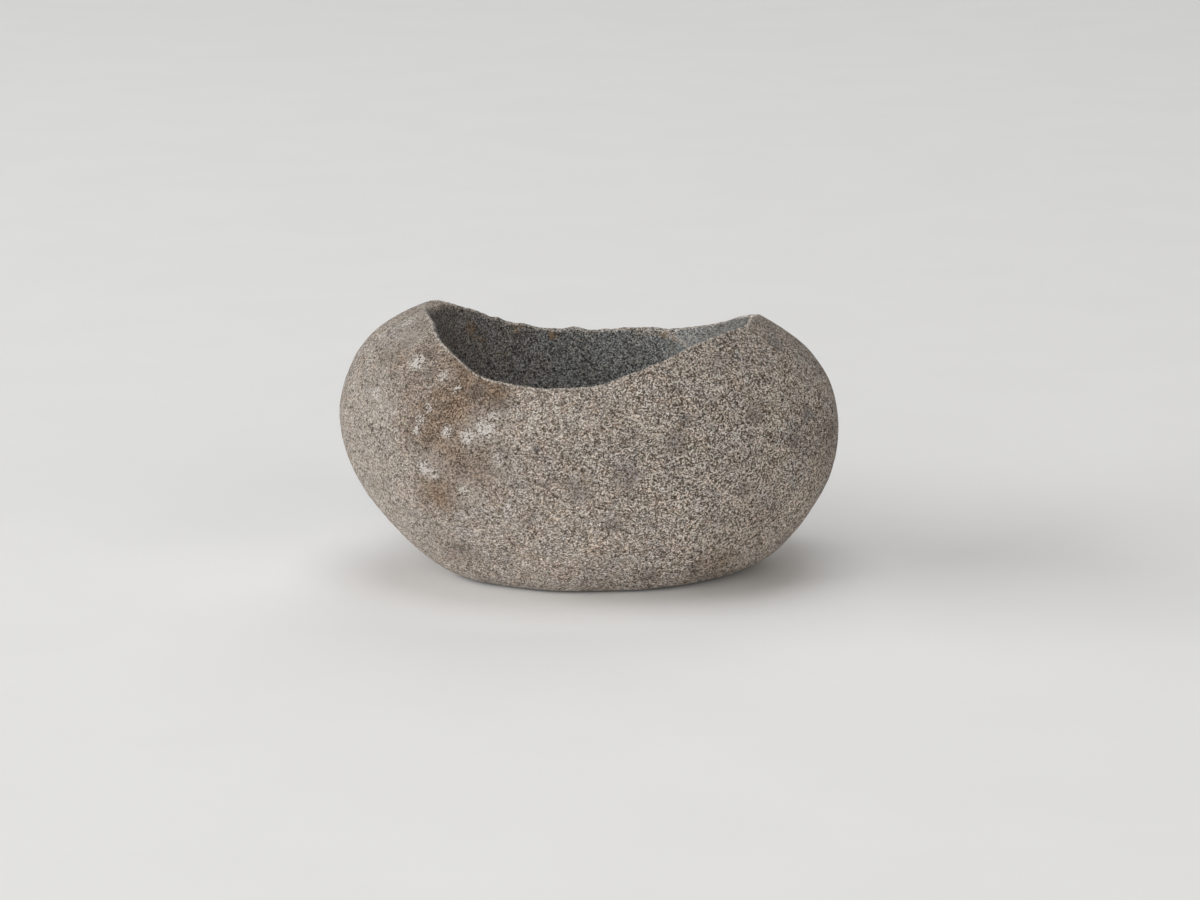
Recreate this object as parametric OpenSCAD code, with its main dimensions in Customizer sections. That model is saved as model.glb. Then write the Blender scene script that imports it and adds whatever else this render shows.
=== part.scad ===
// Stone bowl: one river cobble, ground flat below and hollowed out from above.
// Millimetres, Z up. The origin is under the middle of the stone, on the ground.
// Azimuths run anticlockwise seen from above: 0 right, 90 back, 180 left, 270 front.

/* [Stone] */
// Length of the stone from left to right
stone_length = 180; // [150:1:230]
// Width of the stone from front to back
stone_width = 130; // [110:1:170]
// Height of the widest line of the stone above the ground
girth_height = 52; // [46:1:56]
// Rise of the uncut stone above its widest line
crown_rise = 54; // [44:1:70]
// Drop of the unground stone below its widest line
keel_drop = 63; // [60:1:80]
// Lean of the long axis, left end up, in degrees
lean = 5; // [0:0.5:9]

/* [Roundness] */
// Squareness of the plan, 2 is an ellipse
plan_squareness = 2.05; // [1.8:0.05:2.6]
// Squareness of the crown
crown_squareness = 2.2; // [1.9:0.05:2.6]
// Squareness of the side below the widest line
side_squareness = 2.35; // [1.9:0.05:2.8]
// Squareness of the keel
keel_squareness = 1.9; // [1.7:0.05:2.4]
// Unevenness of the natural skin
skin_waviness = 0.5; // [0:0.1:1.2]

/* [Opening] */
// Longest measure across the opening
opening_length = 126; // [96:1:140]
// Shortest measure across the opening
opening_width = 115; // [84:1:124]
// Azimuth the longest measure points to
opening_turn = 26; // [0:1:60]
// Shift of the opening to the left
opening_left_shift = 2; // [0:0.5:4]
// Width of the worn lip between skin and hollow
lip_width = 1.6; // [1:0.1:3]
// Height the worn lip falls towards the hollow
lip_fall = 1; // [0:0.1:1.5]
// Height the lip falls further at the high left end
left_lip_fall = 1.4; // [0:0.1:2]
// Height of the small waves along the rim
rim_waviness = 0.3; // [0:0.1:1]

/* [Hollow] */
// Thickness of stone left under the hollow
floor_thickness = 22; // [14:1:32]
// Squareness of the hollow in section
hollow_squareness = 2.5; // [2:0.1:3.2]

/* [Ledge] */
// Distance from the middle to the crease at the inner end of the right ledge
ledge_start = 45; // [28:1:48]
// Azimuth the ledge faces away from the middle
ledge_turn = 13; // [-15:1:20]
// Radius of the crease in plan
crease_radius = 400; // [120:10:400]
// Fall of the right ledge towards the hollow, height over length
ledge_slope = 0.55; // [0.2:0.05:0.8]

/* [Hidden] */
half_length = stone_length / 2;
half_width = stone_width / 2;

// Broad swellings and flats of the skin.
// Each is [azimuth, latitude, azimuth reach, latitude reach, rise].
swells = [
    [0, 38, 45, 22, 2.5],
    [180, 48, 40, 16, -3],
    [180, -36, 40, 18, -2],
    [0, -30, 35, 16, -1],
    [335, -50, 40, 12, 1]
];

// Places where the rim stands further out or further in than an oval.
// Each is [azimuth, reach, outward].
rim_nudges = [
    [0, 16, -3.5],
    [56, 16, 2.4],
    [90, 10, 1.2],
    [104, 12, -0.8],
    [122, 26, 5.4],
    [154, 18, 3],
    [200, 10, -1.2],
    [224, 18, 2.2],
    [248, 10, 0.6],
    [285, 10, 1],
    [318, 34, -3.8]
];

// Azimuth of the high left end and how far along the rim its lip is worn.
left_end = 173;
left_end_reach = 16;

// Mesh counts: steps round the stone, rings up the skin, across the ledge and down the hollow.
around = 96;
skin_rings = 26;
ledge_rings = 2;
hollow_rings = 20;
step = 360 / around;
below_ground = 0.8;
crease_blend = 4;
crease_drop = 0.3;
ground_depth = 40;

function bump(gap, reach) = exp(-pow(gap / reach, 2));
function angle_gap(a, b) = abs(((a - b + 900) % 360) - 180);
function total(list, i = 0) = i >= len(list) ? 0 : list[i] + total(list, i + 1);
function soft_min(a, b, k) =
    let (h = max(0, min(1, 0.5 + 0.5 * (b - a) / k)))
    b * (1 - h) + a * h - k * h * (1 - h);

// The uncut cobble.
function plan_radius(az) =
    pow(pow(abs(cos(az)) / half_length, plan_squareness)
        + pow(abs(sin(az)) / half_width, plan_squareness), -1 / plan_squareness);

function skin_offset(az, lat) =
    total([for (s = swells) s[4] * bump(angle_gap(az, s[0]), s[2]) * bump(lat - s[1], s[3])])
    + skin_waviness * (sin(3 * az + 40) * cos(2 * lat + 10) + 0.6 * sin(5 * az + 4 * lat)
        + 0.4 * cos(7 * az - 5 * lat + 70));

function cobble(az, lat) =
    let (
        up = lat >= 0,
        s = abs(sin(lat)),
        c = cos(lat),
        z = up ? crown_rise * pow(s, 2 / crown_squareness) : -keel_drop * pow(s, 2 / keel_squareness),
        r = plan_radius(az) * pow(c, 2 / (up ? crown_squareness : side_squareness)),
        p = [r * cos(az), r * sin(az), z]
    )
    p * (1 + skin_offset(az, lat) / norm(p));

// The cobble stands with its left end up.
function stand(p) =
    [p[0] * cos(lean) + p[2] * sin(lean), p[1], girth_height - p[0] * sin(lean) + p[2] * cos(lean)];

// The outline of the opening, measured from the stone's own middle.
function opening_radius(az) =
    let (
        a = opening_length / 2,
        b = opening_width / 2,
        t = az - opening_turn,
        oval = 1 / sqrt(pow(cos(t) / a, 2) + pow(sin(t) / b, 2))
    )
    oval - opening_left_shift * cos(az)
    + total([for (n = rim_nudges) n[2] * bump(angle_gap(az, n[0]), n[1])])
    + rim_waviness * (sin(11 * az + 20) + 0.7 * sin(17 * az + 95));

function rim_latitude(az) =
    acos(pow(min(0.97, opening_radius(az) / plan_radius(az)), crown_squareness / 2));

// The latitude just under the ground line, found by halving, so that the foot can be cut flat.
function foot_latitude(az, low = -86, high = 0, halvings = 18) =
    let (middle = (low + high) / 2)
    halvings == 0 ? middle
    : stand(cobble(az, middle))[2] > -below_ground ? foot_latitude(az, low, middle, halvings - 1)
    : foot_latitude(az, middle, high, halvings - 1);

function skin_ring(k) =
    [for (i = [0:around - 1])
        let (
            az = i * step,
            f = k / (skin_rings - 1),
            lat = foot_latitude(az) * (1 - f) + rim_latitude(az) * f
        )
        stand(cobble(az, lat))];

rim = skin_ring(skin_rings - 1);

function plan_of(p) = norm([p[0], p[1]]);
function direction_of(p) = [p[0], p[1], 0] / plan_of(p);

// The crease is an arc in plan. This is how far from the middle a ray to the rim meets it.
function crease_reach(p) =
    let (
        d = direction_of(p),
        back = crease_radius - ledge_start,
        along = d[0] * cos(ledge_turn) + d[1] * sin(ledge_turn),
        across = d[1] * cos(ledge_turn) - d[0] * sin(ledge_turn)
    )
    sqrt(pow(crease_radius, 2) - pow(back * across, 2)) - back * along;

function hollow_reach(p) = soft_min(plan_of(p) - lip_width, crease_reach(p), crease_blend);

function lip_height(p) =
    p[2] - lip_fall - left_lip_fall * bump(angle_gap(atan2(p[1], p[0]), left_end), left_end_reach);

function lip_edge(p) =
    let (d = direction_of(p), r = plan_of(p) - lip_width)
    [d[0] * r, d[1] * r, lip_height(p)];

function crease(p) =
    let (d = direction_of(p), r = hollow_reach(p), ledge = max(0, plan_of(p) - lip_width - r))
    [d[0] * r, d[1] * r, lip_height(p) - crease_drop - ledge * ledge_slope];

function hollow_point(p, turn) =
    let (
        c = crease(p),
        k = pow(cos(turn), 2 / hollow_squareness),
        fall = pow(sin(turn), 2 / hollow_squareness)
    )
    [c[0] * k, c[1] * k, c[2] + (floor_thickness - c[2]) * fall];

function mid(a, b, f) = a * (1 - f) + b * f;

function ledge_ring(k) = [for (p = rim) mid(lip_edge(p), crease(p), k / ledge_rings)];

function hollow_ring(k) = [for (p = rim) hollow_point(p, 90 * k / hollow_rings)];

rings = concat(
    [for (k = [0:skin_rings - 1]) skin_ring(k)],
    [for (k = [0:ledge_rings - 1]) ledge_ring(k)],
    [for (k = [0:hollow_rings - 1]) hollow_ring(k)]
);
ring_count = len(rings);
loose_points = concat([for (r = rings) each r], [[0, 0, -below_ground - 2], [0, 0, floor_thickness]]);

// The middle of the stone is brought over the origin.
xs = [for (r = rings) each [for (p = r) p[0]]];
ys = [for (r = rings) each [for (p = r) p[1]]];
middle = [(min(xs) + max(xs)) / 2, (min(ys) + max(ys)) / 2, 0];
points = [for (p = loose_points) p - middle];

foot_tip = ring_count * around;
floor_tip = foot_tip + 1;
function at(ring, i) = ring * around + (i % around);

side_faces = [for (r = [0:ring_count - 2]) for (i = [0:around - 1]) each [
    [at(r, i), at(r + 1, i), at(r + 1, i + 1)],
    [at(r, i), at(r + 1, i + 1), at(r, i + 1)]
]];
foot_faces = [for (i = [0:around - 1]) [foot_tip, at(0, i), at(0, i + 1)]];
floor_faces = [for (i = [0:around - 1]) [floor_tip, at(ring_count - 1, i + 1), at(ring_count - 1, i)]];

module ground_cut() {
    translate([-stone_length, -stone_width, -ground_depth])
        cube([2 * stone_length, 2 * stone_width, ground_depth]);
}

module stone_bowl() {
    color([0.56, 0.53, 0.49])
        difference() {
            polyhedron(points = points, faces = concat(side_faces, foot_faces, floor_faces), convexity = 6);
            ground_cut();
        }
}

stone_bowl();
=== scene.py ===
"""Looks for the stone bowl: one river cobble with a weathered skin, a cut hollow and a worn rim."""
import math

import bpy
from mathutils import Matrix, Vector
from mathutils.kdtree import KDTree


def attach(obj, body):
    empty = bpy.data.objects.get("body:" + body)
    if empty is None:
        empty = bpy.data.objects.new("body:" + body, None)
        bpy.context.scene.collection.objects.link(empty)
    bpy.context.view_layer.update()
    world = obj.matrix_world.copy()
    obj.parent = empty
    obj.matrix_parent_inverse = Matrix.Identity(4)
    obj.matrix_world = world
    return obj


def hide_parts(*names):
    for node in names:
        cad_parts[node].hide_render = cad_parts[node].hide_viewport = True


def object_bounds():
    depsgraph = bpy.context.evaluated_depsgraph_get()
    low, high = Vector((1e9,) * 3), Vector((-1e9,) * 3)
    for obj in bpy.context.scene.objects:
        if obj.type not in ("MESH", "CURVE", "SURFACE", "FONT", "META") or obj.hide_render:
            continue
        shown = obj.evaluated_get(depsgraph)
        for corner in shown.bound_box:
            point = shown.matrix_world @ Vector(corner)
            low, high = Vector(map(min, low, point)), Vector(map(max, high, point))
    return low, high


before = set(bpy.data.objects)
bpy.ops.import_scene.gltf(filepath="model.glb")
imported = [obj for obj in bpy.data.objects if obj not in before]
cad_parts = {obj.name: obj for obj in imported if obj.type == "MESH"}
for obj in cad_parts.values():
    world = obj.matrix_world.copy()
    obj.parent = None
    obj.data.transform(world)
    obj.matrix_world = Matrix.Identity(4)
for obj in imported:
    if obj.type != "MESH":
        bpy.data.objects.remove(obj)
cad_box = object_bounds()

# Lengths in this file are in metres, in the same frame as the CAD: X from the left end to the right
# end, Y from the near side to the far side and Z up. MM turns millimetres into metres.
MM = 0.001

# The finishes of the stone's faces, by material slot.
SKIN, CUT, FOOT = 0, 1, 2

# Marks that show from the front: (right of the middle, height, reach, strength), the first three in
# millimetres. Each lies where a level line from the front, at that place, meets the skin.
SKIN_MARKS = {
    "haze": [
        (-60, 83, 5, 0.6), (-38, 63, 7, 0.9), (-55, 49, 8, 0.8), (-48, 60, 5, 0.6), (-33, 53, 7, 0.7),
        (-59, 62, 4, 0.6), (-75, 67, 4, 0.6), (-80, 56, 4, 0.5), (-43, 40, 7, 0.7), (-64, 93, 5, 0.8),
        (-50, 80, 4, 0.7), (-67, 47, 5, 0.5), (-70, 36, 7, 0.4), (-52, 22, 7, 0.4), (29, 61, 5, 0.4),
        (61, 38, 6, 0.5), (44, 27, 5, 0.5), (4, 19, 6, 0.3), (45, 84, 5, 0.4), (10, 66, 9, 0.3),
        (-76, 70, 13, 0.7), (-76, 45, 14, 0.7), (-62, 25, 13, 0.6), (-64, 90, 9, 0.9), (-52, 93, 6, 0.7),
    ],
    "scuff": [
        (-60, 83, 2.2, 1.1), (-36, 64, 2.5, 1.4), (-42, 61, 1.8, 1), (-57, 48, 2.2, 1.1),
        (-49, 62, 1.6, 0.9), (-54, 46, 1.7, 0.9), (-31, 54, 2, 0.7), (-65, 92, 2.6, 0.9),
        (-75, 71, 1.4, 0.9), (-33, 68, 2, 0.6), (-80, 56, 1.2, 0.7), (-51, 80, 1.8, 0.65),
        (-46, 76, 1.6, 0.6), (-44, 41, 1.6, 0.7), (61, 38, 2, 0.65), (-56, 69, 1.6, 0.6),
        (44, 27, 1.6, 0.65), (-59, 65, 1.8, 0.7), (-60, 61, 1.4, 0.8), (-28, 36, 2, 0.6),
        (-46, 31, 1.2, 0.75), (-42, 31, 1.2, 0.75), (-67, 95, 2.4, 1), (-61, 96, 1.8, 1.1),
        (-70, 91, 1.6, 1), (-74, 87, 1.6, 0.9),
    ],
    "brown stain": [
        (-45, 73, 9, 1), (-39, 77, 8, 1), (-52, 62, 11, 0.9), (-48, 54, 9, 0.7), (-53, 41, 8, 0.7),
        (-38, 51, 7, 0.6), (-67, 84, 6, 0.5), (-57, 86, 6, 0.5), (-47, 81, 7, 0.8), (-62, 75, 8, 0.5),
        (46, 12, 8, 0.45), (-45, 14, 8, 0.35), (58, 26, 14, 0.25), (84, 50, 12, 0.22), (-70, 84, 7, 0.35),
        (-60, 91, 6, 0.35), (-76, 74, 6, 0.25),
    ],
    "ochre": [
        (-53, 41, 5, 0.8), (-44, 68, 5, 0.5), (-50, 58, 5, 0.6), (-31, 76, 2.5, 0.7), (-36, 56, 4, 0.6),
    ],
    "dark patch": [
        (-39, 76, 3, 0.6), (-31, 72, 3, 0.6), (37, 10, 3, 0.5), (77, 63, 2.2, 0.9), (72, 55, 3, 0.6),
        (-4, 44, 5, 0.5), (13, 48, 5, 0.5), (-46, 17, 1.8, 1), (86, 54, 3, 0.7), (21, 8, 3, 0.6),
        (-56, 80, 2, 0.8), (58, 66, 3, 0.6), (66, 86, 2.5, 0.8), (30, 60, 4, 0.5), (8, 30, 3, 0.6),
        (64, 87, 1.6, 0.9), (54, 40, 3, 0.5), (-68, 78, 2, 0.6), (-64, 88, 2, 0.8), (-56, 86, 2, 0.7),
        (-72, 82, 2.5, 0.7), (-48, 88, 2, 0.7),
        (-18, 58, 0.9, 1.2), (-15, 45, 0.9, 1.2), (-30, 57, 0.9, 1), (-21, 31, 1, 1), (33, 67, 1.2, 0.9),
    ],
}

# Marks on the far wall of the hollow, given in the same way but met from inside the hollow.
HOLLOW_MARKS = {
    "rust": [
        (28, 75, 2, 1), (31, 74, 1.6, 0.8), (-44, 79, 4, 0.7), (-27, 77, 3, 0.7), (-14, 74, 3, 0.7),
        (-40, 74, 5, 0.6), (-20, 70, 6, 0.45), (-32, 68, 7, 0.5),
    ],
}

# The way that marks are met, and how many reaches out from its middle a mark is followed.
TOWARDS_BACK = Vector((0, 1, 0))
MARK_END = 3

# Points closer than this are merged, and two triangles become a quad up to this bend and this skew.
MERGE_GAP, QUAD_BEND, QUAD_SKEW = 0.01 * MM, math.radians(25), math.radians(60)

# A face of the foot lies lower than this, and its normal points down at least this much.
FOOT_TOP, FOOT_NORMAL = 0.1 * MM, -0.99

# A point in the mouth of the bowl that all faces of the ledge and the hollow look towards.
IN_THE_MOUTH = Vector((0, 0, 80 * MM))

# Edges that bend more than this are sharp. The creases keep edges crisp through the subdivision.
SHARP_BEND = math.radians(28)
SHARP_CREASE, RIM_CREASE, FOOT_CREASE = 0.5, 0.25, 0.9
SUBDIVISIONS = 2

# The crease of the ledge lies past this X and above this Z, and rises less than this share of its
# length. Each of its edges is followed in this many steps.
LEDGE_FROM_X, LEDGE_FROM_Z, LEDGE_RISE = 15 * MM, 60 * MM, 0.5
CREASE_STEPS = 8

# A flat worn on the high left shoulder: its middle, the way it faces, its depth and how flat it is.
SHOULDER = Vector((-68, -1, 93)) * MM
SHOULDER_FACING = Vector((-0.52, 0.02, 0.853))
SHOULDER_DEPTH, SHOULDER_FLATNESS = 0.8 * MM, 0.9

# Small lifts of the rim: how high, from where to where along the stone, and the side, 1 far or -1 near.
RIM_LIFTS = (
    (0.9 * MM, -14 * MM, 44 * MM, 1),
    (1.1 * MM, 0, 68 * MM, -1),
)

# How far a lift reaches from the rim, and how it fades at its ends and towards the middle of the stone.
LIFT_REACH, LIFT_END_FADE, LIFT_SIDE_FADE = 6 * MM, 10 * MM, 15 * MM

# How far the edge of the foot curls up off the ground: all round, and further at its two ends.
FOOT_CURL, FOOT_CURL_RIGHT, FOOT_CURL_LEFT = 1.0 * MM, 1.6 * MM, 0.3 * MM
FOOT_CURL_REACH, FOOT_END_FROM, FOOT_END_FADE = 8 * MM, 12 * MM, 40 * MM

# How far the near edge of the foot stands forward of the CAD, up to this X, and how it fades.
FOOT_FORWARD, FOOT_FORWARD_REACH, FOOT_FORWARD_END = 3 * MM, 12 * MM, 10 * MM
FOOT_FORWARD_END_FADE, FOOT_FORWARD_SIDE_FADE = 30 * MM, 20 * MM

# Wear: its name, the size of its lumps, its depth from low to high, the level of the noise that stays
# in place, the part of the stone that it wears, and how many finer layers of lumps it has.
WEAR = (
    ("broad swells", 34 * MM, 1.6 * MM, 0.53, "skin", 1),
    ("skin unevenness", 9 * MM, 0.55 * MM, 0.53, "skin", 2),
    ("skin pitting", 2.6 * MM, 0.28 * MM, 0.55, "skin", 2),
    ("tooling", 7 * MM, 0.5 * MM, 0.55, "hollow", 2),
    ("broken crystals", 2.4 * MM, 0.25 * MM, 0.5, "hollow", 2),
    ("rim chips", 7 * MM, 1.7 * MM, 0.53, "rim", 1),
    ("rim crumbs", 1.8 * MM, 0.8 * MM, 0.52, "rim", 1),
)

# Wear of the skin starts at this height and comes in over this length.
SKIN_WEAR_FROM, SKIN_WEAR_FADE = 1 * MM, 7 * MM

# Wear of the rim is full on the far side up to this X. On the near side this share of it is left.
RIM_WEAR_REACH, RIM_WEAR_END, RIM_WEAR_LEAST = 1.8 * MM, 52 * MM, 0.12
RIM_WEAR_END_FADE, RIM_WEAR_SIDE_FADE = 20 * MM, 30 * MM

# A vertex with less weight than this stays out of a vertex group.
LEAST_WEIGHT = 0.01

# How far the rubbed lip reaches into the hollow: on the near side, the far side and at both ends. On the
# near side it is a thin painted highlight, where the rim edge catches light.
LIP_NEAR_HIGHLIGHT, LIP_FAR, LIP_LEFT, LIP_RIGHT = 0.65 * MM, 1.6 * MM, 4 * MM, 1 * MM
LEFT_END, LEFT_END_REACH = Vector((-55, 14, 95)) * MM, 20 * MM

# Where the far side and the right end of the lip start, and over what length each comes in.
FAR_SIDE_FROM, RIGHT_END_FROM, LIP_FADE = -6 * MM, 45 * MM, 12 * MM

# How much paler the lip is at the right end, where 1 is as pale as at the left end. At the left end the
# paler lip is painted light, on a face that turns away from the lamps.
RIGHT_END_PAINTED_LIGHT = 0.7

# How far the worn line along the crease of the ledge reaches, and how strong it is.
CREASE_WEAR, CREASE_STRENGTH = 0.9 * MM, 0.85

# Plain white, as a light and as a tint that changes nothing.
WHITE = (1, 1, 1)

# Noise, lightness and warmth go from 0 to 1, and this is their middle.
MIDDLE = 0.5

# Noise for broad patches has this much finer detail.
PATCH_DETAIL = 3.0

# The sockets of a Mix node that mixes colours.
MIX_MASK, MIX_FIRST, MIX_SECOND, MIX_RESULT = 0, 6, 7, 2

# The edges of a grain waver by this share of its size, in waves this many times finer than it.
WAVER_REACH, WAVER_FINENESS = 0.5, 1.5

# The size of the mineral grains.
GRAIN_SIZE = 0.39 * MM

# How light and how warm a grain is: how much its random number counts, and the noise on top of it, in
# rows of (size, finer detail, weight).
LIGHT_WEIGHT, LIGHT_NOISE = 1.24, ((0.34 * MM, 0.0, 0.66), (2 * MM, 1.0, 0.08), (5 * MM, 1.0, 0.2))
WARM_WEIGHT, WARM_NOISE = 0.5, ((1.2 * MM, 1.0, 1.0), (6 * MM, 1.0, 0.8))

# Dark flakes among the grains: their size, their share and how much darker they are.
FLAKE_SIZE, FLAKE_SHARE, FLAKE_DARKNESS = 0.95 * MM, 0.07, 0.36

# Colours of the grains of each finish, from dark to light. Each is (lightness, colour).
SKIN_TONES = (
    (0.02, (0.062, 0.049, 0.038)),
    (0.25, (0.178, 0.147, 0.119)),
    (0.50, (0.296, 0.250, 0.211)),
    (0.75, (0.438, 0.381, 0.329)),
    (0.98, (0.733, 0.671, 0.602)),
)
CUT_TONES = (
    (0.02, (0.039, 0.038, 0.037)),
    (0.25, (0.095, 0.096, 0.095)),
    (0.50, (0.170, 0.175, 0.173)),
    (0.75, (0.264, 0.269, 0.263)),
    (0.98, (0.500, 0.497, 0.476)),
)
FOOT_TONES = (
    (0.03, (0.060, 0.058, 0.056)),
    (0.50, (0.210, 0.198, 0.184)),
    (0.97, (0.500, 0.485, 0.460)),
)
LIP_TONES = (
    (0.02, (0.115, 0.101, 0.087)),
    (0.35, (0.250, 0.219, 0.188)),
    (0.60, (0.390, 0.346, 0.300)),
    (0.98, (0.680, 0.620, 0.550)),
)

# Contrast of the grains: from where to where along X it changes, and its value before and after. On the
# skin the stronger contrast towards the right is painted shade of the relief, where light grazes the
# stone.
SKIN_CONTRAST_AND_RELIEF_SHADE = (-20 * MM, 60 * MM, 0.81, 1.24)
CUT_CONTRAST = (38 * MM, 48 * MM, 0.92, 1.4)
FOOT_CONTRAST = 0.8

# Tints of cool and of warm grains, and how warm cool, plain and warm grains are.
SKIN_COOL, SKIN_WARM = (0.95, 1.0, 1.04), (1.06, 0.995, 0.92)
CUT_COOL, CUT_WARM = (0.96, 1.0, 1.03), (1.06, 0.99, 0.91)
COOL_GRAIN, PLAIN_GRAIN, WARM_GRAIN = 0.2, 0.5, 0.8

# Broad soft patches of the skin, and painted light from the floor's bounce, which starts at a height and
# is full further down.
MOTTLE_SIZE, MOTTLE_EDGE, MOTTLE_TINT = 14 * MM, (0.35, 0.65), (0.92, 0.93, 0.95)
BOUNCE_LIGHT_START, BOUNCE_LIGHT_FULL, PAINTED_BOUNCE_TINT = 58 * MM, 4 * MM, (1.26, 1.26, 1.27)

# How the marks lie over the skin, from the lowest to the top one: colour, kind of blend, the level of
# the edge, its softness and raggedness, and opacity.
SKIN_LAYERS = {
    "brown stain": ((0.58, 0.50, 0.43), "MULTIPLY", 0.4, 0.4, 0.35, 1.0),
    "ochre": ((1.03, 0.92, 0.80), "MULTIPLY", 0.5, 0.4, 0.6, 1.0),
    "dark patch": ((0.62, 0.63, 0.66), "MULTIPLY", 0.5, 0.3, 0.9, 1.0),
    "haze": ((0.39, 0.352, 0.310), "MIX", 0.5, 0.35, 0.8, 0.45),
    "scuff": ((0.60, 0.57, 0.53), "MIX", 0.62, 0.35, 1.5, 0.8),
}

# The patches that make a mark's edge ragged, and how much they and the grains count in it.
RAGGED_PATCH, RAGGED_ROUGHNESS, RAGGED_WEIGHT = 4 * MM, 0.6, 1.6

# Tints along the hollow: where along X each starts, where it is full, and its colour. The paler right end
# is painted light, where the inner wall faces the lamp on the left.
CUT_TINTS = {
    "left end": (-8 * MM, -40 * MM, (1.00, 0.94, 0.93)),
    # Painted light: the right end of the hollow is made paler, where its wall faces the light.
    "painted light at the right end": (-10 * MM, 26 * MM, (1.14, 1.14, 1.13)),
    "ledge": (36 * MM, 46 * MM, (0.73, 0.72, 0.71)),
}

# Rusty grains of the hollow: which grains turn, how strongly, and their colour.
RUST_EDGE, RUST_OPACITY, RUST_COLOUR = (0.4, 0.5), 0.8, (0.36, 0.22, 0.11)

# The rubbed lip: how much the grains shift its edge, the edge itself, the tint of its pale ends, and
# how strongly it covers the skin and the hollow. The pale ends are painted light, the near-rim line a
# painted highlight.
LIP_GRAIN, LIP_EDGE, PAINTED_LIGHT_END_TINT = 0.25, (0.4, 0.6), (1.9, 1.85, 1.8)
LIP_OVER_SKIN, LIP_OVER_CUT = 0.85, 0.8

# Scratches of the foot: their width, the stretch of the noise that makes them, and how pale they are.
SCRATCH_WIDTH, SCRATCH_STRETCH = 0.5 * MM, (0.05, 1, 1)
SCRATCH_EDGE, SCRATCH_OPACITY, SCRATCH_COLOUR = (0.55, 0.75), 0.4, (0.42, 0.41, 0.39)

# Relief of the grains and of the scratches, and the roughness of low and of high places.
GRAIN_RELIEF, SCRATCH_RELIEF, RELIEF_RANGE = 0.42 * MM, 0.05 * MM, (0.2, 0.8)
SKIN_ROUGHNESS, CUT_ROUGHNESS, FOOT_ROUGHNESS = (0.95, 0.82), (0.92, 0.75), (0.85, 0.7)
STONE_SPECULAR = 0.25

# The floor: its width in metres, its two colours, the size and edge of its soft clouds, and its sheen.
FLOOR_WIDTH = 40
FLOOR_COLOUR, FLOOR_CLOUD_COLOUR = (0.820, 0.820, 0.814), (0.832, 0.832, 0.828)
FLOOR_CLOUD, FLOOR_CLOUD_EDGE = 60 * MM, (0.3, 0.7)
FLOOR_ROUGHNESS, FLOOR_SPECULAR = 0.9, 0.2

# Soft boxes: the way to each from the stone, its power in watts, its colour and its width in metres.
WARM_WHITE = (1, 0.92, 0.82)
SOFT_BOXES = {
    "window on the left": ((-1, -0.15, 0.34), 214, WHITE, 5),
    "front": ((-0.3, -1, 0.45), 50, WHITE, 3),
    "low front": ((0, -1, 0.1), 60, WHITE, 3),
    "front right": ((0.8, -0.8, 0.4), 46, WARM_WHITE, 3),
    "ceiling": ((0, 0, 1), 64, WHITE, 3),
    "far ceiling": ((0.2, 0.9, 0.8), 46, WHITE, 3),
}

# How high and how far away each soft box is, in metres, and the height above the floor it aims at.
BOX_HEIGHT, BOX_DISTANCE, AIM_HEIGHT = 3, 4.5, 50 * MM

# The little light that the room itself gives.
ROOM_COLOUR, ROOM_STRENGTH = (0.9, 0.9, 0.92), 0.02

# The camera's lens and sensor in millimetres, its place, its tilt, where 90 degrees is level, and how
# close it sees.
LENS, SENSOR_WIDTH = 126.83, 36
CAMERA_PLACE, CAMERA_TILT = (3.8 * MM, -1486 * MM, 381 * MM), math.radians(77.18)
CLOSEST_SEEN = 50 * MM


# Small helpers for modelling.

def select_only(obj):
    """Makes obj the one selected and active object."""
    bpy.ops.object.select_all(action="DESELECT")
    obj.select_set(True)
    bpy.context.view_layer.objects.active = obj


def apply_all(obj):
    """Applies every modifier in order."""
    select_only(obj)
    for name in [modifier.name for modifier in obj.modifiers]:
        bpy.ops.object.modifier_apply(modifier=name)


def rise(value, start, fade):
    """Goes from 0 at the start to 1 one fade further, with soft ends."""
    t = max(0.0, min(1.0, (value - start) / fade))
    return t * t * (3 - 2 * t)


def bell(gap, reach):
    """1 where there is no gap, about a third at the reach, and hardly anything beyond twice that."""
    return math.exp(-((gap / reach) ** 2))


def tree_of(places):
    """Finds what lies near a place quickly."""
    tree = KDTree(len(places))
    for index, place in enumerate(places):
        tree.insert(place, index)
    tree.balance()
    return tree


def write_attribute(obj, name, values):
    """Stores one number a vertex, for the materials to read."""
    attribute = obj.data.attributes.new(name, "FLOAT", "POINT")
    attribute.data.foreach_set("value", values)


def write_group(obj, name, weights):
    """Stores one weight a vertex, for a modifier to follow."""
    group = obj.vertex_groups.new(name=name)
    for index, weight in enumerate(weights):
        if weight > LEAST_WEIGHT:
            group.add([index], weight, "REPLACE")


# The stone's shape.

def copy_of_cad_stone():
    """A merged copy of the CAD stone, turned from triangles into clean quads."""
    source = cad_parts["stone_bowl"]
    stone = source.copy()
    stone.data = source.data.copy()
    stone.name = "carved_cobble"
    stone.parent = None
    for key in list(stone.keys()):
        del stone[key]
    bpy.context.scene.collection.objects.link(stone)
    stone.data.materials.clear()
    select_only(stone)
    bpy.ops.object.mode_set(mode="EDIT")
    bpy.ops.mesh.select_all(action="SELECT")
    bpy.ops.mesh.remove_doubles(threshold=MERGE_GAP)
    bpy.ops.mesh.tris_convert_to_quads(face_threshold=QUAD_BEND, shape_threshold=QUAD_SKEW)
    bpy.ops.mesh.normals_make_consistent(inside=False)
    bpy.ops.object.mode_set(mode="OBJECT")
    return stone


def sort_faces(stone):
    """Gives each face its finish. Faces that look towards a point in the mouth of the bowl were cut."""
    for face in stone.data.polygons:
        if face.center.z < FOOT_TOP and face.normal.z < FOOT_NORMAL:
            face.material_index = FOOT
        elif face.normal.dot(IN_THE_MOUTH - face.center) > 0:
            face.material_index = CUT
        else:
            face.material_index = SKIN


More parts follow.
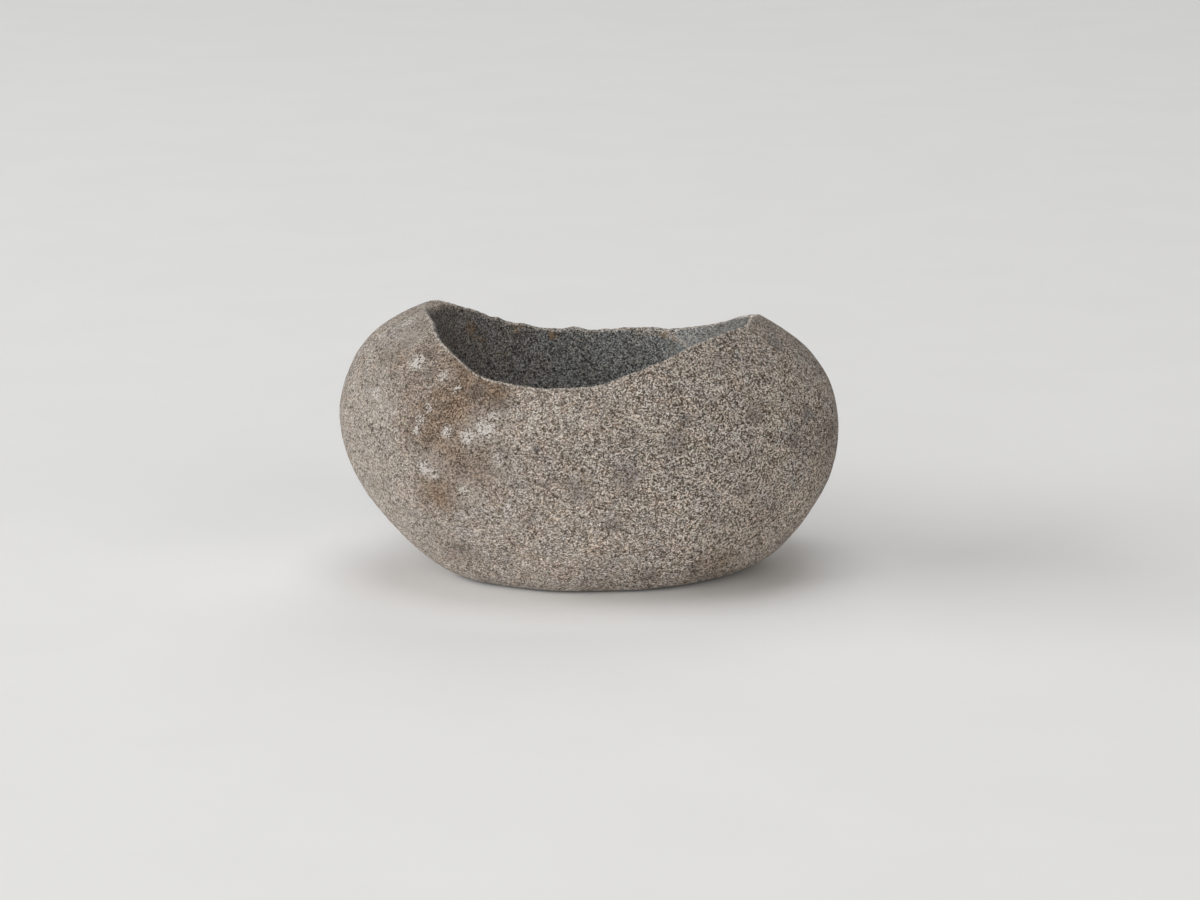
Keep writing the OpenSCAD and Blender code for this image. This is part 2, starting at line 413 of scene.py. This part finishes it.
def crease_hard_edges(stone):
    """Keeps the crease of the ledge, the rim and the edge of the foot crisp through the subdivision."""
    select_only(stone)
    bpy.ops.object.mode_set(mode="EDIT")
    bpy.ops.mesh.select_mode(type="EDGE")
    bpy.ops.mesh.select_all(action="DESELECT")
    bpy.ops.mesh.edges_select_sharp(sharpness=SHARP_BEND)
    bpy.ops.transform.edge_crease(value=SHARP_CREASE)
    for finish, crease in ((CUT, RIM_CREASE), (FOOT, FOOT_CREASE)):
        bpy.ops.mesh.select_mode(type="FACE")
        bpy.ops.mesh.select_all(action="DESELECT")
        stone.active_material_index = finish
        bpy.ops.object.material_slot_select()
        bpy.ops.mesh.region_to_loop()
        bpy.ops.transform.edge_crease(value=crease)
    bpy.ops.object.mode_set(mode="OBJECT")


def refine(stone):
    """Subdivides the stone so that it can carry dents, chips and an uneven skin."""
    subdivision = stone.modifiers.new("finer stone", "SUBSURF")
    subdivision.levels = SUBDIVISIONS
    subdivision.render_levels = SUBDIVISIONS
    apply_all(stone)


def border_gaps(stone, first, second):
    """The distance from each vertex to the line where two finishes meet."""
    finishes = [set() for _ in stone.data.vertices]
    for face in stone.data.polygons:
        for index in face.vertices:
            finishes[index].add(face.material_index)
    vertices = stone.data.vertices
    border = tree_of([vertex.co for vertex in vertices if {first, second} <= finishes[vertex.index]])
    return [border.find(vertex.co)[2] for vertex in vertices]


def ledge_crease(stone):
    """Places along the hard edge between the ledge and the hollow, found before the subdivision."""
    faces_at = {}
    for face in stone.data.polygons:
        if face.material_index == CUT:
            for key in face.edge_keys:
                faces_at.setdefault(key, []).append(face.normal)
    places = []
    for (first, second), normals in faces_at.items():
        if len(normals) == 2 and normals[0].angle(normals[1]) > SHARP_BEND:
            start, end = stone.data.vertices[first].co, stone.data.vertices[second].co
            level = abs(end.z - start.z) < LEDGE_RISE * (end - start).length
            if level and min(start.x, end.x) > LEDGE_FROM_X and min(start.z, end.z) > LEDGE_FROM_Z:
                places += [start.lerp(end, step / CREASE_STEPS) for step in range(CREASE_STEPS + 1)]
    return places


def flatten_shoulder(stone):
    """Takes the crown off the left shoulder, so that its near side ends in a soft ridge."""
    facing = SHOULDER_FACING.normalized()
    level = SHOULDER.dot(facing) - SHOULDER_DEPTH
    for vertex in stone.data.vertices:
        proud = vertex.co.dot(facing) - level
        if proud > 0:
            vertex.co -= facing * proud * SHOULDER_FLATNESS


def lift_rim(stone):
    """Lifts parts of the rim a little, with the stone close to it."""
    for vertex, gap in zip(stone.data.vertices, border_gaps(stone, SKIN, CUT)):
        for lift, start, end, side in RIM_LIFTS:
            along = rise(vertex.co.x, start, LIFT_END_FADE) * rise(-vertex.co.x, -end, LIFT_END_FADE)
            on_side = rise(side * vertex.co.y, 0, LIFT_SIDE_FADE)
            vertex.co.z += lift * along * on_side * bell(gap, LIFT_REACH)


def curl_foot(stone):
    """Rounds the edge of the foot up off the ground and brings its near left part forward."""
    for vertex, gap in zip(stone.data.vertices, border_gaps(stone, SKIN, FOOT)):
        right = rise(vertex.co.x, FOOT_END_FROM, FOOT_END_FADE)
        left = rise(-vertex.co.x, FOOT_END_FROM, FOOT_END_FADE)
        curl = FOOT_CURL + FOOT_CURL_RIGHT * right + FOOT_CURL_LEFT * left
        vertex.co.z += curl * bell(gap, FOOT_CURL_REACH)
        near = rise(-vertex.co.y, 0, FOOT_FORWARD_SIDE_FADE)
        near_left = near * rise(-vertex.co.x, -FOOT_FORWARD_END, FOOT_FORWARD_END_FADE)
        vertex.co.y -= FOOT_FORWARD * near_left * bell(gap, FOOT_FORWARD_REACH)


def wear(stone, name, size, strength, mid_level, group, layers):
    """Moves the surface in and out along its normals by soft noise, where the vertex group says."""
    lumps = bpy.data.textures.new(name, "CLOUDS")
    lumps.noise_basis = "IMPROVED_PERLIN"
    lumps.noise_scale = size
    lumps.noise_depth = layers
    displace = stone.modifiers.new(name, "DISPLACE")
    displace.texture = lumps
    displace.texture_coords = "LOCAL"
    displace.strength = strength
    displace.mid_level = mid_level
    displace.vertex_group = group


def finish_at_vertices(stone):
    """The finish at each vertex. On a border the skin comes first, and then the cut stone."""
    finishes = [FOOT] * len(stone.data.vertices)
    for face in stone.data.polygons:
        for index in face.vertices:
            finishes[index] = min(finishes[index], face.material_index)
    return finishes


def rim_wear(vertex, gap):
    """How much the rim is worn at a vertex, which lies this far from the rim."""
    on_far_side = rise(vertex.co.y, 0, RIM_WEAR_SIDE_FADE)
    on_far_side *= rise(-vertex.co.x, -RIM_WEAR_END, RIM_WEAR_END_FADE)
    return (RIM_WEAR_LEAST + (1 - RIM_WEAR_LEAST) * on_far_side) * bell(gap, RIM_WEAR_REACH)


def keep_in_cad_box(stone):
    """Moves what stands out of the CAD box back onto its side."""
    low, high = Vector(cad_box[0]), Vector(cad_box[1])
    for vertex in stone.data.vertices:
        vertex.co = [min(max(value, low[i]), high[i]) for i, value in enumerate(vertex.co)]


def weather(stone):
    """Uneven natural skin, tooled hollow and small chips along the rim. The foot stays flat."""
    vertices = stone.data.vertices
    finishes = finish_at_vertices(stone)
    rim_gaps = border_gaps(stone, SKIN, CUT)
    off_ground = [rise(vertex.co.z, SKIN_WEAR_FROM, SKIN_WEAR_FADE) for vertex in vertices]
    skin_wear = [up if finish == SKIN else 0 for up, finish in zip(off_ground, finishes)]
    write_group(stone, "skin", skin_wear)
    write_group(stone, "hollow", [1 if finish == CUT else 0 for finish in finishes])
    write_group(stone, "rim", [rim_wear(vertex, gap) for vertex, gap in zip(vertices, rim_gaps)])
    for row in WEAR:
        wear(stone, *row)
    apply_all(stone)
    keep_in_cad_box(stone)
    stone.vertex_groups.clear()


# Where the marks lie.

def line_strength(gap, width):
    """1 on a worn line, a half where its width ends and 0 at twice that."""
    return 1 - min(1, gap / (2 * width))


def record_lip(stone, crease_places):
    """Stores the rubbed lip and its painted near-rim highlight, the worn crease, and painted light on the
    ends.
    """
    crease = tree_of(crease_places)
    strengths = []
    painted_light_ends = []
    for vertex, gap in zip(stone.data.vertices, border_gaps(stone, SKIN, CUT)):
        far = rise(vertex.co.y, FAR_SIDE_FROM, LIP_FADE)
        # Painted light: the lip is paler at the left end, where it faces away from the lamps.
        left_end = far * bell((vertex.co - LEFT_END).length, LEFT_END_REACH)
        right_end = rise(vertex.co.x, RIGHT_END_FROM, LIP_FADE)
        # On the near side the thin lip is a painted highlight, where the rim edge catches light.
        width = max(LIP_NEAR_HIGHLIGHT + (LIP_FAR - LIP_NEAR_HIGHLIGHT) * far, LIP_RIGHT * right_end)
        width += (LIP_LEFT - width) * left_end
        along_rim = line_strength(gap, width)
        along_crease = line_strength(crease.find(vertex.co)[2], CREASE_WEAR)
        strengths.append(max(along_rim, CREASE_STRENGTH * along_crease))
        painted_light_ends.append(max(left_end, RIGHT_END_PAINTED_LIGHT * right_end))
    write_attribute(stone, "lip", strengths)
    write_attribute(stone, "painted light on lip ends", painted_light_ends)


def spread_mark(stone, tree, strengths, start, reach, strength):
    """Adds one mark where a level line from its start towards the back meets the stone."""
    found, centre, _, _ = stone.ray_cast(start, TOWARDS_BACK)
    if not found:
        return
    for _, index, gap in tree.find_range(centre, MARK_END * reach):
        strengths[index] = max(strengths[index], strength * bell(gap, math.sqrt(2) * reach))


def record_marks(stone):
    """Stores how strongly each mark shows at each vertex. The hollow's are met from inside it."""
    bpy.context.view_layer.update()
    tree = tree_of([vertex.co for vertex in stone.data.vertices])
    before_the_stone = 2 * cad_box[0][1]
    for marks, from_y in ((SKIN_MARKS, before_the_stone), (HOLLOW_MARKS, 0)):
        for name, places in marks.items():
            strengths = [0.0] * len(stone.data.vertices)
            for right, height, reach, strength in places:
                start = Vector((right * MM, from_y, height * MM))
                spread_mark(stone, tree, strengths, start, reach * MM, strength)
            write_attribute(stone, name, strengths)


# Small helpers for materials.

def add_node(tree, kind, settings=None, inputs=None):
    """A node with its settings made and its sockets set or linked."""
    node = tree.nodes.new(kind)
    for name, value in (settings or {}).items():
        setattr(node, name, value)
    for name, value in (inputs or {}).items():
        if isinstance(value, bpy.types.NodeSocket):
            tree.links.new(value, node.inputs[name])
        else:
            node.inputs[name].default_value = value
    return node


def maths(tree, operation, first, second=0.0, third=0.0):
    """One step of arithmetic."""
    node = add_node(tree, "ShaderNodeMath", {"operation": operation}, {0: first, 1: second, 2: third})
    return node.outputs[0]


def off_middle(tree, value):
    """How far a value is from the middle."""
    return maths(tree, "SUBTRACT", value, MIDDLE)


def blend_levels(tree, parts):
    """The middle, plus how far each part is from the middle times its weight."""
    level = MIDDLE - MIDDLE * sum(weight for _, weight in parts)
    for value, weight in parts:
        level = maths(tree, "MULTIPLY_ADD", value, weight, level)
    return level


def remap(tree, value, low, high, new_low=0.0, new_high=1.0):
    """Turns the range low to high into new_low to new_high, with soft ends."""
    ends = {"Value": value, "From Min": low, "From Max": high, "To Min": new_low, "To Max": new_high}
    node = add_node(tree, "ShaderNodeMapRange", {"interpolation_type": "SMOOTHSTEP"}, ends)
    return node.outputs["Result"]


def mix_colours(tree, mask, first, second, blend="MIX"):
    """Lays the second colour over the first where the mask says."""
    settings = {"data_type": "RGBA", "blend_type": blend}
    inputs = {MIX_MASK: mask, MIX_FIRST: first, MIX_SECOND: second}
    return add_node(tree, "ShaderNodeMix", settings, inputs).outputs[MIX_RESULT]


def tinted(tree, mask, colour, tint):
    """A colour, multiplied by a tint where the mask says."""
    return mix_colours(tree, mask, colour, (*tint, 1), "MULTIPLY")


def noise(tree, position, size, detail=2.0, roughness=0.5):
    """Soft noise from 0 to 1 whose lumps are about size across."""
    settings = {"Vector": position, "Scale": 1 / size, "Detail": detail, "Roughness": roughness}
    return add_node(tree, "ShaderNodeTexNoise", {}, settings).outputs["Fac"]


def noise_levels(tree, position, rows):
    """Noises and their weights, ready to be blended. Each row is (size, finer detail, weight)."""
    return [(noise(tree, position, size, detail), weight) for size, detail, weight in rows]


def cells(tree, position, size):
    """Grains with uneven edges. Each has a random value in Red, Green and Blue."""
    waves = {"Vector": position, "Scale": WAVER_FINENESS / size}
    waver = add_node(tree, "ShaderNodeTexNoise", {}, waves).outputs["Color"]
    shift = {0: waver, 1: (WAVER_REACH * size,) * 3, 2: position}
    moved = add_node(tree, "ShaderNodeVectorMath", {"operation": "MULTIPLY_ADD"}, shift)
    grains = add_node(tree, "ShaderNodeTexVoronoi", {}, {"Vector": moved.outputs[0], "Scale": 1 / size})
    return add_node(tree, "ShaderNodeSeparateColor", {}, {"Color": grains.outputs["Color"]}).outputs


def stored(tree, name):
    """A number stored on the vertices."""
    settings = {"attribute_type": "GEOMETRY", "attribute_name": name}
    return add_node(tree, "ShaderNodeAttribute", settings).outputs["Fac"]


def colour_steps(tree, value, steps):
    """A colour ramp. Each step is (place, colour)."""
    node = add_node(tree, "ShaderNodeValToRGB", {}, {"Fac": value})
    ramp = node.color_ramp
    while len(ramp.elements) < len(steps):
        ramp.elements.new(MIDDLE)
    for element, (place, colour) in zip(ramp.elements, steps):
        element.position = place
        element.color = (*colour, 1)
    return node.outputs["Color"]


def new_group(name, inputs, outputs):
    """An empty node group with named sockets. Returns it with its input and output nodes."""
    group = bpy.data.node_groups.new(name, "ShaderNodeTree")
    for socket, kind, value in inputs:
        made = group.interface.new_socket(socket, in_out="INPUT", socket_type=kind)
        if value is not None:
            made.default_value = value
    for socket, kind in outputs:
        group.interface.new_socket(socket, in_out="OUTPUT", socket_type=kind)
    return group, group.nodes.new("NodeGroupInput").outputs, group.nodes.new("NodeGroupOutput").inputs


def place_group(tree, group, inputs):
    """A node group placed in a material with its own values."""
    return add_node(tree, "ShaderNodeGroup", {"node_tree": group}, inputs).outputs


# Effects that several finishes share.

def build_crystals():
    """Interlocked mineral grains: how light each is, how warm, and a random number of its own."""
    group, given, made = new_group(
        "crystals",
        [("Position", "NodeSocketVector", None), ("Contrast", "NodeSocketFloat", 1.0)],
        [("Lightness", "NodeSocketFloat"), ("Warmth", "NodeSocketFloat"), ("Chance", "NodeSocketFloat")],
    )
    position = given["Position"]
    grain = cells(group, position, GRAIN_SIZE)
    coarse_grain = cells(group, position, FLAKE_SIZE)
    lights = [(grain["Red"], LIGHT_WEIGHT)] + noise_levels(group, position, LIGHT_NOISE)
    flakes = maths(group, "LESS_THAN", coarse_grain["Green"], FLAKE_SHARE)
    level = maths(group, "MULTIPLY_ADD", flakes, -FLAKE_DARKNESS, blend_levels(group, lights))
    lightness = maths(group, "MULTIPLY_ADD", off_middle(group, level), given["Contrast"], MIDDLE)
    warms = [(grain["Green"], WARM_WEIGHT)] + noise_levels(group, position, WARM_NOISE)
    warmth = blend_levels(group, warms)
    group.links.new(lightness, made["Lightness"])
    group.links.new(warmth, made["Warmth"])
    group.links.new(grain["Blue"], made["Chance"])
    return group


def build_ragged_mark():
    """Turns a stored mark into a mask whose ragged edge follows the grains."""
    group, given, made = new_group(
        "ragged mark",
        [("Amount", "NodeSocketFloat", 0.0), ("Position", "NodeSocketVector", None),
         ("Lightness", "NodeSocketFloat", 0.5), ("Threshold", "NodeSocketFloat", 0.5),
         ("Softness", "NodeSocketFloat", 0.3), ("Raggedness", "NodeSocketFloat", 0.5),
         ("Opacity", "NodeSocketFloat", 1.0)],
        [("Mask", "NodeSocketFloat")],
    )
    patches = noise(group, given["Position"], RAGGED_PATCH, PATCH_DETAIL, RAGGED_ROUGHNESS)
    speckled = maths(group, "MULTIPLY", off_middle(group, given["Lightness"]), RAGGED_WEIGHT)
    rough = maths(group, "MULTIPLY_ADD", off_middle(group, patches), RAGGED_WEIGHT, speckled)
    uneven = maths(group, "MULTIPLY_ADD", rough, given["Raggedness"], 1.0)
    level = maths(group, "MULTIPLY", given["Amount"], uneven)
    low = maths(group, "SUBTRACT", given["Threshold"], given["Softness"])
    high = maths(group, "ADD", given["Threshold"], given["Softness"])
    mask = maths(group, "MULTIPLY", remap(group, level, low, high), given["Opacity"])
    group.links.new(mask, made["Mask"])
    return group


def build_worn_lip_and_highlight():
    """The rubbed, pale brown stone along the rim, with a painted highlight on the near rim and painted
    light at the ends, laid over either finish.
    """
    group, given, made = new_group(
        "worn lip",
        [("Color", "NodeSocketColor", None), ("Lip", "NodeSocketFloat", 0.0),
         ("Lightness", "NodeSocketFloat", 0.5), ("Opacity", "NodeSocketFloat", 1.0),
         ("Painted Light", "NodeSocketFloat", 0.0)],
        [("Color", "NodeSocketColor")],
    )
    rubbed = colour_steps(group, given["Lightness"], LIP_TONES)
    # Painted light: the ends of the lip are made paler.
    rubbed = tinted(group, given["Painted Light"], rubbed, PAINTED_LIGHT_END_TINT)
    level = maths(group, "MULTIPLY_ADD", off_middle(group, given["Lightness"]), LIP_GRAIN, given["Lip"])
    mask = maths(group, "MULTIPLY", remap(group, level, *LIP_EDGE), given["Opacity"])
    group.links.new(mix_colours(group, mask, given["Color"], rubbed), made["Color"])
    return group


# The finishes.

def new_material(name):
    """A material with its shader, its colour tree and the position on the piece."""
    material = bpy.data.materials.new(name)
    material.use_nodes = True
    tree = material.node_tree
    shader = tree.nodes["Principled BSDF"]
    position = add_node(tree, "ShaderNodeTexCoord").outputs["Object"]
    return material, tree, shader, position


def lay_marks(tree, position, lightness, colour):
    """Lays each kind of mark of the skin over a colour."""
    for name, (over, blend, threshold, softness, raggedness, opacity) in SKIN_LAYERS.items():
        mask = place_group(tree, RAGGED_MARK, {
            "Amount": stored(tree, name), "Position": position, "Lightness": lightness,
            "Threshold": threshold, "Softness": softness, "Raggedness": raggedness, "Opacity": opacity,
        })["Mask"]
        colour = mix_colours(tree, mask, colour, (*over, 1), blend)
    return colour


def tint_grains(tree, colour, warmth, cool, warm):
    """Makes some grains cooler and some warmer."""
    tint = colour_steps(tree, warmth, [(COOL_GRAIN, cool), (PLAIN_GRAIN, WHITE), (WARM_GRAIN, warm)])
    return mix_colours(tree, 1.0, colour, tint, "MULTIPLY")


def rough_stone(tree, shader, height, depth, roughness):
    """Relief, and a matt sheen that changes with its height."""
    relief = add_node(tree, "ShaderNodeBump", {}, {"Height": height, "Strength": 1.0, "Distance": depth})
    tree.links.new(relief.outputs["Normal"], shader.inputs["Normal"])
    tree.links.new(remap(tree, height, *RELIEF_RANGE, *roughness), shader.inputs["Roughness"])
    shader.inputs["Specular IOR Level"].default_value = STONE_SPECULAR


def weathered_skin():
    """The river-worn outside: warm grey with dark and cream grains, stains and scuffs."""
    material, tree, shader, position = new_material("weathered_skin")
    place = add_node(tree, "ShaderNodeSeparateXYZ", {}, {"Vector": position}).outputs
    # Painted shade: the grains grow more contrasty towards the right, where light grazes the relief.
    contrast = remap(tree, place["X"], *SKIN_CONTRAST_AND_RELIEF_SHADE)
    grains = place_group(tree, CRYSTALS, {"Position": position, "Contrast": contrast})
    light = grains["Lightness"]
    colour = colour_steps(tree, light, SKIN_TONES)
    colour = tint_grains(tree, colour, grains["Warmth"], SKIN_COOL, SKIN_WARM)
    mottled = remap(tree, noise(tree, position, MOTTLE_SIZE, PATCH_DETAIL), *MOTTLE_EDGE)
    colour = tinted(tree, mottled, colour, MOTTLE_TINT)
    # Painted light: the lower skin is made paler towards the ground, standing in for light bounced up off
    # the floor.
    painted_bounce = remap(tree, place["Z"], BOUNCE_LIGHT_START, BOUNCE_LIGHT_FULL)
    colour = tinted(tree, painted_bounce, colour, PAINTED_BOUNCE_TINT)
    colour = lay_marks(tree, position, light, colour)
    lip = place_group(tree, WORN_LIP_AND_HIGHLIGHT, {
        "Color": colour, "Lip": stored(tree, "lip"), "Lightness": light, "Opacity": LIP_OVER_SKIN,
    })
    tree.links.new(lip["Color"], shader.inputs["Base Color"])
    rough_stone(tree, shader, light, GRAIN_RELIEF, SKIN_ROUGHNESS)
    return material


def cut_stone():
    """The hollow: freshly cut, darker and bluer, with rusty grains, browner at its left end, and with
    painted light that makes its right end paler.
    """
    material, tree, shader, position = new_material("cut_stone")
    across = add_node(tree, "ShaderNodeSeparateXYZ", {}, {"Vector": position}).outputs["X"]
    contrast = remap(tree, across, *CUT_CONTRAST)
    grains = place_group(tree, CRYSTALS, {"Position": position, "Contrast": contrast})
    light = grains["Lightness"]
    colour = colour_steps(tree, light, CUT_TONES)
    colour = tint_grains(tree, colour, grains["Warmth"], CUT_COOL, CUT_WARM)
    # One of these tints is painted light that makes the right end of the hollow paler.
    for start, full, tint in CUT_TINTS.values():
        colour = tinted(tree, remap(tree, across, start, full), colour, tint)
    rusty = maths(tree, "MULTIPLY", stored(tree, "rust"), grains["Chance"])
    rusty = remap(tree, rusty, *RUST_EDGE, 0, RUST_OPACITY)
    colour = mix_colours(tree, rusty, colour, (*RUST_COLOUR, 1))
    lip = place_group(tree, WORN_LIP_AND_HIGHLIGHT, {
        "Color": colour, "Lip": stored(tree, "lip"), "Lightness": light, "Opacity": LIP_OVER_CUT,
        "Painted Light": stored(tree, "painted light on lip ends"),
    })
    tree.links.new(lip["Color"], shader.inputs["Base Color"])
    rough_stone(tree, shader, light, GRAIN_RELIEF, CUT_ROUGHNESS)
    return material


def ground_foot():
    """The flat underside: ground smooth, with fine straight scratches along the stone."""
    material, tree, shader, position = new_material("ground_foot")
    grains = place_group(tree, CRYSTALS, {"Position": position, "Contrast": FOOT_CONTRAST})
    colour = colour_steps(tree, grains["Lightness"], FOOT_TONES)
    stretched = add_node(tree, "ShaderNodeMapping", {}, {"Vector": position, "Scale": SCRATCH_STRETCH})
    scratches = noise(tree, stretched.outputs["Vector"], SCRATCH_WIDTH)
    pale = remap(tree, scratches, *SCRATCH_EDGE, 0, SCRATCH_OPACITY)
    colour = mix_colours(tree, pale, colour, (*SCRATCH_COLOUR, 1))
    tree.links.new(colour, shader.inputs["Base Color"])
    rough_stone(tree, shader, scratches, SCRATCH_RELIEF, FOOT_ROUGHNESS)
    return material


# The studio.

def pale_floor():
    """A wide, plain, matt floor."""
    bpy.ops.object.select_all(action="DESELECT")
    bpy.ops.mesh.primitive_plane_add(size=FLOOR_WIDTH)
    floor = bpy.context.active_object
    floor.name = "floor"
    material, tree, shader, position = new_material("pale_paint")
    cloudy = remap(tree, noise(tree, position, FLOOR_CLOUD, PATCH_DETAIL), *FLOOR_CLOUD_EDGE)
    colour = mix_colours(tree, cloudy, (*FLOOR_COLOUR, 1), (*FLOOR_CLOUD_COLOUR, 1))
    tree.links.new(colour, shader.inputs["Base Color"])
    shader.inputs["Roughness"].default_value = FLOOR_ROUGHNESS
    shader.inputs["Specular IOR Level"].default_value = FLOOR_SPECULAR
    floor.data.materials.append(material)


def soft_box(name, direction, power, colour, width):
    """A large soft light that faces the stone."""
    light = bpy.data.lights.new(name, "AREA")
    light.shape = "RECTANGLE"
    light.size = width
    light.size_y = BOX_HEIGHT
    light.energy = power
    light.color = colour
    lamp = bpy.data.objects.new(name, light)
    towards = Vector(direction).normalized()
    lamp.location = towards * BOX_DISTANCE + Vector((0, 0, AIM_HEIGHT))
    lamp.rotation_euler = towards.to_track_quat("Z", "Y").to_euler()
    bpy.context.scene.collection.objects.link(lamp)


def dim_room():
    """The room itself gives hardly any light."""
    world = bpy.data.worlds.new("room")
    bpy.context.scene.world = world
    world.use_nodes = True
    background = world.node_tree.nodes["Background"]
    background.inputs["Color"].default_value = (*ROOM_COLOUR, 1)
    background.inputs["Strength"].default_value = ROOM_STRENGTH


def place_camera():
    """Looks down on the stone from the front, as the photograph does."""
    lens = bpy.data.cameras.new("camera")
    lens.lens = LENS
    lens.sensor_width = SENSOR_WIDTH
    lens.clip_start = CLOSEST_SEEN
    camera = bpy.data.objects.new("camera", lens)
    camera.location = CAMERA_PLACE
    camera.rotation_euler = (CAMERA_TILT, 0, 0)
    bpy.context.scene.collection.objects.link(camera)
    bpy.context.scene.camera = camera


# The stone, from its shape to its finishes.

stone = copy_of_cad_stone()
CRYSTALS = build_crystals()
RAGGED_MARK = build_ragged_mark()
WORN_LIP_AND_HIGHLIGHT = build_worn_lip_and_highlight()
for finish in (weathered_skin(), cut_stone(), ground_foot()):
    stone.data.materials.append(finish)
sort_faces(stone)
crease_hard_edges(stone)
crease_places = ledge_crease(stone)
refine(stone)
flatten_shoulder(stone)
lift_rim(stone)
curl_foot(stone)
weather(stone)
record_marks(stone)
record_lip(stone, crease_places)
select_only(stone)
bpy.ops.object.shade_smooth()

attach(stone, "root")
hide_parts("stone_bowl")

pale_floor()
dim_room()
for name, (direction, power, colour, width) in SOFT_BOXES.items():
    soft_box(name, direction, power, colour, width)
place_camera()
bpy.context.scene.view_settings.view_transform = "Standard"
